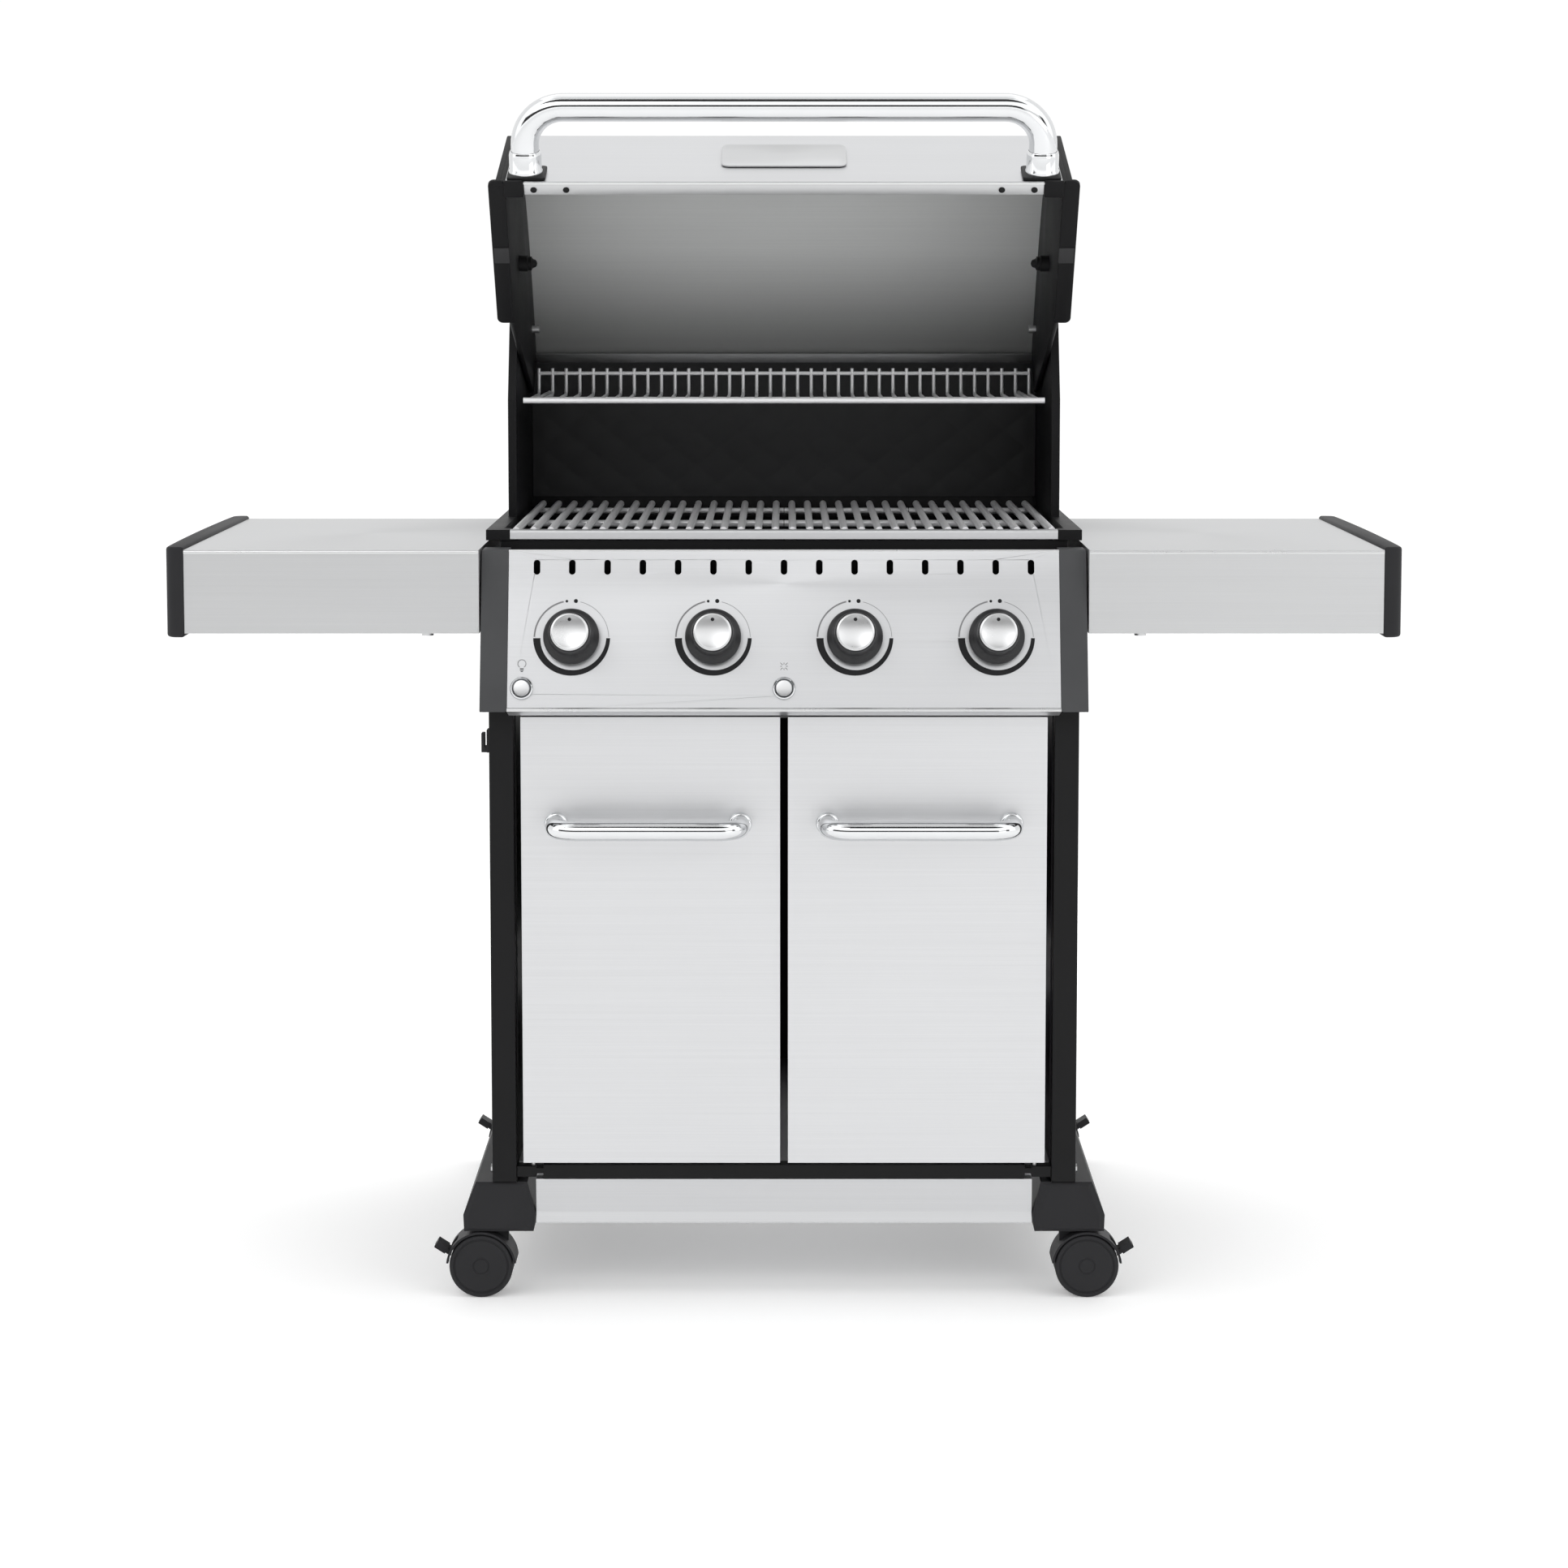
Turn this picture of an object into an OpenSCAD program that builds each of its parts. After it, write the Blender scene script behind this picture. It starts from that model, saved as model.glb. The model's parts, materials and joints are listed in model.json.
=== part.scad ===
// Four-burner gas barbecue grill on a two-door cart with fixed side shelves.
// Millimetres. X runs to the right, Y to the back and Z up.
// The origin is on the floor, under the middle of the grill.

/* [Overall] */
// Half of the width over the two shelf end caps
half_span = 726; // [700:1:760]
// Height of the side shelf tops above the floor
shelf_top_z = 898; // [880:1:905]
// Depth of the middle of the footprint behind the control panel's lower front edge
footprint_mid = 320; // [310:1:330]
// Thickness of the sheet steel
sheet_t = 1.5; // [1:0.1:2]

/* [Lid] */
// Angle that the lid stands open
lid_open = 53; // [30:1:60]
// Half of the width of the stainless lid skin
lid_half = 325; // [322:0.5:325.5]
// Distance of the hinge axis behind the control panel's lower front edge
hinge_y = 470; // [465:1:475]
// Height of the hinge axis
hinge_z = 1147; // [1144:1:1149]
// Lean of the lid's front panel when the lid is closed
lid_lean = 18; // [16:0.5:20]
// Radius of the handle's tube
handle_r = 16.5; // [12:0.5:18]
// Distance of the handle's tube from the lid
handle_stand = 82; // [70:1:90]

/* [Cookbox] */
// Half of the width between the inner walls
box_half = 332.5; // [331:0.5:335]
// Height of the cookbox rim
rim_z = 917.5; // [910:0.5:920]
// Number of rods across the four cooking grids
grid_rods = 32; // [24:4:36]
// Number of rods in the warming rack
rack_rods = 37; // [21:2:41]

/* [Control panel] */
// Half of the width of the panel's stainless face
panel_half = 323; // [320:1:325]
// Lean of the control panel
panel_lean = 15; // [13:0.5:17]
// Spacing of the two knobs in each pair, and of the two middle ones
knob_pitch = 165.5; // [150:0.5:170]
// Radius of a knob's skirt
knob_r = 32.7; // [28:0.1:35]
// Number of vent slots along the panel's upper edge
vent_slots = 15; // [9:2:15]

/* [Cart] */
// Side of a leg's square tube
leg_w = 29; // [25:1:30]
// Half of the distance between the legs' outer faces
leg_out = 347.6; // [345:0.2:350]
// Height of the doors
door_h = 535; // [500:1:536]
// Thickness of a door
door_t = 18; // [14:1:20]
// Radius of a caster wheel
wheel_r = 38; // [34:1:40]

/* [Hidden] */
$fn = 48;
steel = "#c9cacc";
bright = "#dcdde0";
black = "#1e1e1f";
charcoal = "#505052";
dark_plastic = "#363636";
both = [-1, 1];
// Points on an arc about [cy, cz], from angle a0 to a1 in n steps
function arc(cy, cz, r, a0, a1, n) =
    [for (i = [0:n]) let (a = a0 + (a1 - a0) * i / n) [cy + r * cos(a), cz + r * sin(a)]];
function unit(v) = v / norm(v);
// The normal of an open polyline p at its corner i
function normal_at(p, i) =
    let (a = p[max(i - 1, 0)], b = p[min(i + 1, len(p) - 1)], d = unit(b - a)) [d[1], -d[0]];
// An open polyline moved in by t at every corner
function inset(p, t) = [for (i = [0:len(p) - 1]) p[i] + t * normal_at(p, i)];
function flipped(p) = [for (i = [len(p) - 1:-1:0]) p[i]];
// An open polyline thickened inwards into a strip of sheet
function strip(p, t) = concat(p, flipped(inset(p, t)));
// Everything is drawn with Y measured from the control panel's lower front edge
module placed() translate([0, -footprint_mid, 0]) children();
// A profile in Y and Z, extruded along X from x0 to x1
module along_x(x0, x1, points) translate([x0, 0, 0])
    rotate([90, 0, 90]) linear_extrude(x1 - x0) polygon(points);
// A box between two values of X, two of Y and two of Z
module block(x, y, z) translate([x[0], y[0], z[0]])
    cube([x[1] - x[0], y[1] - y[0], z[1] - z[0]]);
// A range of X from a to b, on the right for s = 1 and mirrored to the left for s = -1
function sided(s, a, b) = s > 0 ? [a, b] : [-b, -a];
module rod_x(x0, x1, y, z, r, fn = 24) translate([x0, y, z]) rotate([0, 90, 0])
    cylinder(h = x1 - x0, r = r, $fn = fn);
module rod_y(x, y0, y1, z, r, fn = 24) translate([x, y0, z]) rotate([-90, 0, 0])
    cylinder(h = y1 - y0, r = r, $fn = fn);

// An outline of a rounded rectangle from corner a to corner b
function rounded(a, b, r, n = 5) = concat(
    arc(b[0] - r, b[1] - r, r, 0, 90, n), arc(a[0] + r, b[1] - r, r, 90, 180, n),
    arc(a[0] + r, a[1] + r, r, 180, 270, n), arc(b[0] - r, a[1] + r, r, 270, 360, n));
// A U-shaped bar: legs at half_x to each side, its middle at height up, corners bent to
// radius bend, and the legs drawn on below zero by foot
module bow(half_x, up, r, bend, foot = 0) {
    for (s = both) {
        translate([s * half_x, 0, -foot]) cylinder(h = up - bend + foot, r = r);
        translate([s * (half_x - bend), 0, up - bend]) rotate([90, 0, 0])
            rotate([0, 0, s > 0 ? 0 : 90]) rotate_extrude(angle = 90)
            translate([bend, 0]) circle(r = r);
    }
    translate([bend - half_x, 0, up]) rotate([0, 90, 0]) cylinder(h = 2 * (half_x - bend), r = r);
}

// ---- Lid, drawn closed and turned to its open angle ----
lip = [77, 921];
lid_front_len = 195;
lid_up = [sin(lid_lean), cos(lid_lean)];
crest = lip + lid_front_len * lid_up;
lid_sheet = 2;
lid_line = concat([lip], arc(crest[0] + 27, crest[1] - 14, 28, 162, 112, 5),
    [[210, 1146], [255, 1163], [300, 1174], [360, 1182], [420, 1186], [500, 1187], [540, 1184],
    [548, 1176]]);
end_in = lid_half;
end_out = lid_half + 6;
flange_out = lid_half + 20;
flange_back = 283;
lid_under = [[548, 1113], [flange_back, lip[1]]];
pin_r = 5;
return_half = 303;
run_gap = 0.05;
mount_up = 30;
module lid_pose() placed() translate([0, hinge_y, hinge_z]) rotate([-lid_open, 0, 0])
    translate([0, -hinge_y, -hinge_z]) children();
// Frame on the lid's front panel: Y up the panel from the lip and Z out of it
module on_lid_front(up = 0) translate([0, lip[0], lip[1]]) rotate([90 - lid_lean, 0, 0])
    translate([0, up, 0]) children();
module lid_shell() color(bright) lid_pose() {
    along_x(-lid_half, lid_half, strip(lid_line, lid_sheet));
    // folded return along the lip
    block([-return_half, return_half], [78, 94], [921, 923]);
    // folded drip edge along the back
    block([-lid_half, lid_half], [532, 547.5], [1173, 1175]);
}
module lid_end(s) color(black) lid_pose() difference() {
    union() {
        plate = sided(s, end_in, end_out);
        wide = sided(s, end_in, flange_out);
        along_x(plate[0], plate[1], concat(lid_line, lid_under));
        // rim flange that rests beside the cookbox rim
        translate([0, 0, 920]) linear_extrude(7) polygon(
            rounded([wide[0], 75], [wide[1], flange_back], 4));
        // front corner that wraps round the stainless lip
        along_x(wide[0], wide[1], [[73, 920], [73, 934], [80, 950], [96, 950], [96, 920]]);
    }
    rod_x(s * 325 - 15, s * 325 + 15, hinge_y, hinge_z, pin_r + run_gap, 48);
}
module lid_end_left() lid_end(-1);
module lid_end_right() lid_end(1);
handle_x = 302.5;
handle_bend = 45;
ferrule_h = 26;
base_h = 4;
handle_wall = 2;
module lid_handle() color(bright) lid_pose() on_lid_front(mount_up) translate([0, 0, base_h])
    difference() {
        bow(handle_x, handle_stand - base_h, handle_r, handle_bend);
        bow(handle_x, handle_stand - base_h, handle_r - handle_wall, handle_bend, 1);
    }
module handle_ferrules() lid_pose() on_lid_front(mount_up) for (s = both)
    translate([s * handle_x, 0, 0]) {
        color(black) translate([-22, -24, 0]) cube([44, 50, base_h]);
        color(bright) translate([0, 0, base_h]) difference() {
            cylinder(h = ferrule_h, r = handle_r + 3);
            translate([0, 0, -1]) cylinder(h = ferrule_h + 2, r = handle_r + run_gap);
        }
    }
plate_half = 74;
plate_up = 61;
plate_h = 84;
module nameplate() color(steel) lid_pose() on_lid_front(plate_up)
    linear_extrude(3) polygon(rounded([-plate_half, 0], [plate_half, plate_h], 10));
module lid_hardware() color(black) lid_pose() {
    for (s = both) {
        // inward bolt with a domed nut, on each end
        translate([s * end_in, 279, 1034]) rotate([0, -s * 90, 0]) {
            cylinder(h = 12, r = 10);
            translate([0, 0, 12]) cylinder(h = 5, r = 7.5);
            translate([0, 0, 17]) cylinder(h = 4, r = 4.5);
        }
        // rubber pad under the flange
        block([s * 333 - 10, s * 333 + 10], [170, 192], [918, 920]);
        // screws through the lip return
        for (x = [254, 292]) translate([s * x, 86, 919.5]) cylinder(h = 1.5, r = 3.6);
    }
}

// ---- Cookbox ----
trim_half = 324.5;
trim_back = 96.5;
wall_t = 3.5;
front_in = 91;
back_in = 555;
back_top = 1118;
tower_front = 294;
tower_out = box_half + 10.5;
rim_out = 353;
box_outline = [[88, 905], [88, 800], [230, 768], [410, 768], [558, 800], [558, back_top]];
box_bottom_z = 757;
burner_z = 828;
burner_x = knob_pitch / 2;
burner_xs = [-3, -1, 1, 3] * burner_x;
tent_foot_z = 852;
grid_ledge_z = 903;
tray_slot = [-60, 60];
module cookbox() color(black) placed() difference() {
    union() {
        along_x(-box_half - 1, box_half + 1, strip(box_outline, -3));
        for (s = both) {
            tower = sided(s, box_half, tower_out);
            block(sided(s, box_half, box_half + wall_t), [88, 558], [box_bottom_z, 909]);
            block(sided(s, box_half, rim_out), [110, 558], [909, rim_z]);
            block(sided(s, trim_half, rim_out), [84, 110], [905, rim_z]);
            along_x(tower[0], tower[1], [[tower_front, 912], [tower_front, 1063], [329, 1158],
                [530, 1158], [558, back_top], [558, 912]]);
            // lug that bolts to the rear leg
            block(sided(s, 322, 344), [558, 561], [830, 870]);
            // clip on the back wall that carries the warming rack
            block(sided(s, rack_hook_x - 6, rack_hook_x + 6), [545, 556],
                [rack_z - 8, rack_z - hook_r]);
        }
        // ledges for the cooking grids and the heat tents
        for (y = [[90, 112], [531, 556]])
            block([-box_half - 1, box_half + 1], y, [grid_ledge_z - 3, grid_ledge_z]);
        for (y = [[90, 104], [541, 556]])
            block([-box_half - 1, box_half + 1], y, [tent_foot_z - 3, tent_foot_z]);
    }
    for (x = burner_xs) rod_y(x, 80, 96, burner_z, 13);
    block(tray_slot, [280, 360], [760, 775]);
    for (s = both) rod_x(s * 338 - 20, s * 338 + 20, hinge_y, hinge_z, pin_r, 48);
}
module cookbox_trim() color(bright) placed() difference() {
    block([-trim_half, trim_half], [84, trim_back], [905, rim_z]);
    block([sheet_t - trim_half, trim_half - sheet_t], [88, trim_back + 1], [904, rim_z - sheet_t]);
}
module pins_and_screws() color(steel) placed() for (s = both) {
    // lid hinge pin with a hexagon head outside the cookbox
    pin = sided(s, 316, tower_out);
    head = sided(s, tower_out, tower_out + 4);
    rod_x(pin[0], pin[1], hinge_y, hinge_z, pin_r, 48);
    rod_x(head[0], head[1], hinge_y, hinge_z, 9, 6);
    // door pins at the bottom and the top
    for (z = [door_z - 12, door_z + door_h - 12]) translate([s * door_pin_x, door_pin_y, z])
        cylinder(h = 24, r = door_pin_r);
    // hexagon screws through the legs
    leg_screw = sided(s, leg_out, leg_out + 2.5);
    for (y = [54, 575], z = [155, 742]) rod_x(leg_screw[0], leg_screw[1], y, z, 5, 6);
}
module burners() color(steel) placed() for (x = burner_xs) difference() {
    union() {
        rod_y(x, 76, 530, burner_z, 12.8);
        rod_y(x, 530, 548, burner_z, 5);
    }
    rod_y(x, 75, 526, burner_z, 11.4);
}
tent_half = 62;
module heat_tents() color(steel) placed() for (x = burner_xs) translate([x, 93, 0])
    rotate([90, 0, 180]) mirror([1, 0, 0]) translate([0, tent_foot_z, 0]) linear_extrude(460)
    polygon([[-tent_half, 0], [-tent_half, 1.5], [-10, 27], [10, 27], [tent_half, 1.5],
        [tent_half, 0], [tent_half - 4, 0], [9, 25], [-9, 25], [4 - tent_half, 0]]);
rod_r = 4.5;
grid_top = 920;
rods_half = 318;
grid_pitch = 2 * rods_half / (grid_rods - 1);
rods_per_grid = grid_rods / 4;
cross_r = 4;
module cooking_grids() color(steel) placed() for (g = [0:3]) {
    x0 = -rods_half + g * rods_per_grid * grid_pitch;
    // cross rods reach almost to the next grid
    x_low = max(x0 - grid_pitch / 2 + 0.4, -rods_half - 3);
    x_high = min(x0 + (rods_per_grid - 0.5) * grid_pitch - 0.4, rods_half + 3);
    for (i = [0:rods_per_grid - 1])
        rod_y(x0 + i * grid_pitch, trim_back + 0.5, 549, grid_top - rod_r, rod_r);
    for (y = [105, 323, 538]) rod_x(x_low, x_high, y, grid_ledge_z + cross_r, cross_r);
}
rack_pitch = 2 * rods_half / (rack_rods - 1);
rack_z = 1062;
rack_r = 2.2;
rack_bend = 10;
rack_back = 486;
hook_r = 2.6;
rack_hook_x = 17.5 * rack_pitch;
module warming_rack() color(bright) placed() {
    for (i = [0:rack_rods - 1]) translate([-rods_half + i * rack_pitch, 0, 0]) {
        rod_y(0, 298, rack_back - rack_bend, rack_z, rack_r, 16);
        translate([0, rack_back - rack_bend, rack_z + rack_bend]) rotate([0, 90, 0])
            rotate_extrude(angle = 90) translate([rack_bend, 0]) circle(r = rack_r, $fn = 16);
        translate([0, rack_back, rack_z + rack_bend]) cylinder(h = 24, r = rack_r, $fn = 16);
    }
    rod_x(-324, 324, 298, rack_z, 3.6);
    rod_x(-318, 318, rack_back, 1089.6, 2.4);
    rod_x(-318, 318, rack_back - 60, rack_z - 3, 2.4);
    // side rods that rest on the clips of the back wall
    for (s = both) rod_y(s * rack_hook_x, 298, 555, rack_z, hook_r);
}

// ---- Control panel; its frame has Y up the face and Z out of it ----
panel_z = 711;
panel_len = 192.6;
panel_t = 2;
knob_up = 88;
button_up = 28;
button_r = 10;
stem_r = 4;
knob_xs = burner_xs;
module on_panel(x = 0, up = 0) placed() translate([0, 0, panel_z]) rotate([90 - panel_lean, 0, 0])
    translate([x, up, 0]) children();
slot_pitch = 579.6 / (vent_slots - 1);
slot_up = 171.5;
module control_panel() color(bright) on_panel() difference() {
    union() {
        translate([-panel_half, 0, -panel_t]) cube([2 * panel_half, panel_len, panel_t]);
        translate([-panel_half, 0, -30]) cube([2 * panel_half, panel_t, 30]);
        translate([-panel_half, panel_len - panel_t, -30]) cube([2 * panel_half, panel_t, 30]);
    }
    for (x = knob_xs) translate([x, knob_up, -3]) cylinder(h = 4, r = 6);
    for (x = [-306, 0]) translate([x, button_up, -3]) cylinder(h = 4, r = button_r);
    for (i = [0:vent_slots - 1]) translate([(i - (vent_slots - 1) / 2) * slot_pitch, slot_up, -3]) {
        translate([-3.75, -5, 0]) cube([7.5, 10, 4]);
        for (e = both) translate([0, e * 5, 0]) cylinder(h = 4, r = 3.75, $fn = 24);
    }
}
cap_outline = [[0, panel_z], [49.8, 897], [84, 897], [84, panel_z]];
cap_out = 355;
cap_t = 4;
module panel_caps() color(charcoal) placed() for (s = both) difference() {
    outer = sided(s, panel_half, cap_out);
    inner = sided(s, panel_half - 1, cap_out - cap_t);
    along_x(outer[0], outer[1], cap_outline);
    along_x(inner[0], inner[1],
        [[5, panel_z - 1], [5, 716], [53, 893], [85, 893], [85, panel_z - 1]]);
}
module valve_stem(i) color(steel) on_panel(knob_xs[i - 1], knob_up) translate([0, 0, -24])
    cylinder(h = 54, r = stem_r);
module valve_stem_1() valve_stem(1);
module valve_stem_2() valve_stem(2);
module valve_stem_3() valve_stem(3);
module valve_stem_4() valve_stem(4);
knob_base = 5;
knob_top = 45;
cap_r = 22;
skirt_h = 11;
module knob(i) on_panel(knob_xs[i - 1], knob_up) translate([0, 0, knob_base]) difference() {
    union() {
        color(black) cylinder(h = skirt_h, r1 = knob_r, r2 = knob_r - 2, $fn = 64);
        color(steel) translate([0, 0, skirt_h])
            cylinder(h = knob_top - knob_base - skirt_h, r1 = cap_r + 1, r2 = cap_r);
    }
    translate([0, 0, -1]) cylinder(h = 27, r = stem_r + 0.01);
}
module knob_1() knob(1);
module knob_2() knob(2);
module knob_3() knob(3);
module knob_4() knob(4);
module push_button(x) color(bright) on_panel(x, button_up) {
    translate([0, 0, -7]) cylinder(h = 12, r = button_r - run_gap);
    translate([0, 0, -9]) cylinder(h = 2, r = button_r + 2);
}
module igniter_button() push_button(0);
module light_button() push_button(-306);
module igniter() color(black) {
    on_panel(0, button_up) translate([-14, -14, -33]) cube([28, 28, 18]);
    on_panel(-304, button_up) translate([-12, -14, -33]) cube([26, 28, 18]);
    placed() for (x = burner_xs) {
        rod_y(x + 24, front_in - 0.2, 120, burner_z - 8, 4);
        rod_y(x + 24, 120, 134, burner_z - 8, 1.3);
    }
}
manifold_at = [73, 783];
module gas_manifold() color(steel) placed() {
    rod_x(-290, 290, manifold_at[0], manifold_at[1], 9);
    for (x = [-165, 165]) block([x - 8, x + 8], [manifold_at[0], 88], [manifold_at[1], 815]);
    translate([-282, manifold_at[0], 742]) {
        cylinder(h = 41, r = 7);
        cylinder(h = 14, r = 12, $fn = 6);
        translate([0, 0, -10]) cylinder(h = 12, r = 8);
    }
}
// Depth behind the panel at which a valve's body meets the manifold
valve_back = 42.8;
module valves() color("#8d8a80") {
    for (x = knob_xs) on_panel(x, knob_up) difference() {
        translate([0, 0, -valve_back]) cylinder(h = valve_back - 12, r = 11);
        translate([0, 0, -28]) cylinder(h = 18, r = stem_r + run_gap);
    }
    placed() for (x = burner_xs) {
        block([x - 8, x + 8], [56, 66], [792, burner_z + 7]);
        rod_y(x, 66, 84, burner_z, 5);
    }
}

// ---- Side shelves ----
shelf_in = 357;
shelf_out = 702;
shelf_front = 30;
shelf_back = 520;
apron_z = 800;
module shelf(s) color(steel) placed() mirror([s > 0 ? 0 : 1, 0, 0]) {
    difference() {
        block([shelf_in, shelf_out], [shelf_front, shelf_back], [apron_z, shelf_top_z]);
        block([shelf_in + sheet_t, shelf_out + 1], [shelf_front + sheet_t, shelf_back - sheet_t],
            [apron_z - 1, shelf_top_z - sheet_t]);
    }
    for (y = [100, 420]) difference() {
        block([box_half + wall_t, 690], [y, y + 30], [806, 826]);
        block([box_half, 700], [y + 2, y + 28], [808, 827]);
    }
    translate([421, 66, 794]) cylinder(h = 14, r = 7);
    block([411, 431], [52, 80], [apron_z, apron_z + 8]);
    block([411, 431], [shelf_front + 1, 60], [apron_z, apron_z + 3]);
}
module shelf_left() shelf(-1);
module shelf_right() shelf(1);
module shelf_caps() color(dark_plastic) placed() for (s = both)
    mirror([s > 0 ? 0 : 1, 0, 0]) difference() {
        translate([0, 0, apron_z - 5]) linear_extrude(shelf_top_z - apron_z + 9)
            polygon(concat([[shelf_out, 28]], arc(708, 42, 14, 270, 345, 4), [[half_span, 160],
                [half_span + 0.7, 275], [half_span, 390]], arc(708, 508, 14, 15, 90, 4),
                [[shelf_out, 522]]));
        block([shelf_out - 1, 718], [33, 517], [apron_z - 6, shelf_top_z]);
    }

// ---- Cart ----
leg_in = leg_out - leg_w;
leg_bottom = 141;
rear_leg = [561, 590];
front_leg = [40, 69];
side_rail_z = box_bottom_z - leg_w;
module tube(x, y, z, hollow) difference() {
    block(x, y, z);
    if (hollow == "z") block(x + [1.5, -1.5], y + [1.5, -1.5], z + [-1, 1]);
    if (hollow == "y") block(x + [1.5, -1.5], y + [-1, 1], z + [1.5, -1.5]);
}
module leg_frame(s) color(black) placed() {
    x = sided(s, leg_in, leg_out);
    tube(x, front_leg, [leg_bottom, 790], "z");
    tube(x, rear_leg, [leg_bottom, 880], "z");
    for (z = [leg_bottom, side_rail_z]) tube(x, [front_leg[1], rear_leg[0]], [z, z + leg_w], "y");
}
module leg_frame_left() leg_frame(-1);
module leg_frame_right() leg_frame(1);
caster_x = 344;
caster_ys = [62, 648];
caster_stem_r = 5.5;
foot_bottom = 81;
foot_front = 42;
foot_back = 668;
// A length of the foot rail's section from y0 to y1, for the right side of the cart
module foot_length(y0, y1, points) translate([0, y0, 0]) rotate([90, 0, 180])
    mirror([1, 0, 0]) linear_extrude(y1 - y0) polygon(points);
module foot_rail(s) color(dark_plastic) placed() mirror([s > 0 ? 0 : 1, 0, 0]) difference() {
    union() {
        difference() {
            foot_length(foot_front, foot_back, [[306, leg_bottom], [296, 101], [299, foot_bottom],
                [382, foot_bottom], [382.8, 101], [367.5, leg_bottom]]);
            // moulded hollow, open below and closed at both ends
            foot_length(foot_front + 4, foot_back - 4, [[309.5, 137], [300.2, 101],
                [303, foot_bottom - 1], [378, foot_bottom - 1], [378.6, 101], [364.5, 137]]);
        }
        // bosses for the caster stems
        for (y = caster_ys) translate([caster_x, y, foot_bottom]) cylinder(h = 57, r = 12);
    }
    for (y = caster_ys) translate([caster_x, y, foot_bottom - 1])
        cylinder(h = 45, r = caster_stem_r + run_gap);
}
module foot_rail_left() foot_rail(-1);
module foot_rail_right() foot_rail(1);
panel_in = leg_in - sheet_t;
shelf_floor = leg_bottom + 19;
module side_panels() color(black) placed() for (s = both) {
    // starts behind the sweep of the door's edge
    block(sided(s, panel_in, leg_in), [58, 588], [shelf_floor, box_bottom_z]);
    // runner for the grease tray
    block(sided(s, 308, panel_in), [110, 570], [742, 745]);
}
module back_panel() color(black) placed() difference() {
    // open above, where the tray and its cup slide out
    block([-panel_in, panel_in], [584, 586], [shelf_floor, 660]);
    for (x = [-250:100:250], z = [260:30:320]) block([x - 35, x + 35], [583, 587], [z, z + 8]);
}
module bottom_shelf() color(steel) placed() difference() {
    block([-panel_in, panel_in], [60, 584], [shelf_floor - 17, shelf_floor + sheet_t]);
    block([sheet_t - panel_in, panel_in - sheet_t], [60 + sheet_t, 584 - sheet_t],
        [shelf_floor - 18, shelf_floor]);
}
door_z = 166;
rail_top_z = door_z + door_h + 3;
kick_half = 296;
module lower_front_panel() color(steel) placed() {
    block([-kick_half, kick_half], [45, 47], [91, 144]);
    // hem that slopes out along the lower edge
    along_x(-kick_half, kick_half, [[45, 104], [41, 93], [41, 91], [45, 91]]);
    block([-kick_half, kick_half], [45, 60], [142, 144]);
    for (s = both) block(sided(s, kick_half - 2, kick_half), [47, 60], [99, 143]);
}
module door_rails() color(black) placed() difference() {
    union() {
        block([-287, 287], [42, 60], [145, 162]);
        for (s = both) {
            // necked end with the hinge bracket
            block(sided(s, 286, 296), [42, 60], [151, 158]);
            block(sided(s, 295, leg_in), [42, 60], [147, shelf_floor]);
        }
        block([-panel_in, panel_in], [40, 70], [rail_top_z, rail_top_z + 14]);
    }
    for (s = both, z = [140, door_z + door_h]) translate([s * door_pin_x, door_pin_y, z])
        cylinder(h = 30, r = door_pin_r + 0.01);
}
door_gap = 4.6;
door_edge = 310;
door_front = 35;
door_pin_x = 299;
door_pin_y = 50;
door_pin_r = 3;
module door(s) color(bright) placed() mirror([s > 0 ? 0 : 1, 0, 0]) difference() {
    block([door_gap, door_edge], [door_front, door_front + door_t + 2], [door_z, door_z + door_h]);
    block([door_gap + 1.2, door_edge - 1.2], [door_front + 1.2, door_front + door_t + 3],
        [door_z + 5, door_z + door_h - 5]);
    translate([door_pin_x, door_pin_y, door_z - 1]) cylinder(h = door_h + 2, r = door_pin_r + run_gap);
}
module door_left() door(-1);
module door_right() door(1);
pull_z = 574;
pull_half = 108.4;
pull_r = 11.5;
pull_out = 54;
rose_r = 14;
module door_handle(s) color(bright) placed() translate([s * 160, door_front, pull_z]) rotate([90, 0, 0]) {
    bow(pull_half, pull_out, pull_r, 26);
    for (e = both) translate([e * pull_half, 0, 0]) cylinder(h = 4, r = rose_r);
}
module door_handle_left() door_handle(-1);
module door_handle_right() door_handle(1);
module cart_fittings() color(black) placed() {
    // magnet that holds each door shut
    for (s = both) block(sided(s, 19, 45), [56, 70], [door_z + door_h - 10, rail_top_z]);
    // hook for tools on the left front leg
    block([-357, -leg_out], [46, 60], [657, 664]);
    block([-357, -353], [46, 60], [664, 680]);
    block([-leg_out - 3, -leg_out], [44, 62], [657, 684]);
}
tray_half = 300;
module grease_tray() color(steel) placed() difference() {
    union() {
        block([-tray_half, tray_half], [116, 574], [718, 750]);
        block([-tray_half - 10, tray_half + 10], [116, 574], [745.3, 747]);
        block([-40, 40], [574, 592], [733, 737]);
    }
    block([-tray_half + 1.5, tray_half - 1.5], [117.5, 572.5], [720, 751]);
    translate([0, 320, 710]) cylinder(h = 12, r = 25);
}
module grease_cup() color(steel) placed() difference() {
    union() {
        block([-75, 75], [270, 370], [668, 716]);
        for (s = both) block(sided(s, 73, 85), [275, 365], [714, 718]);
    }
    block([-73.5, 73.5], [271.5, 368.5], [669.5, 719]);
}

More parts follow.
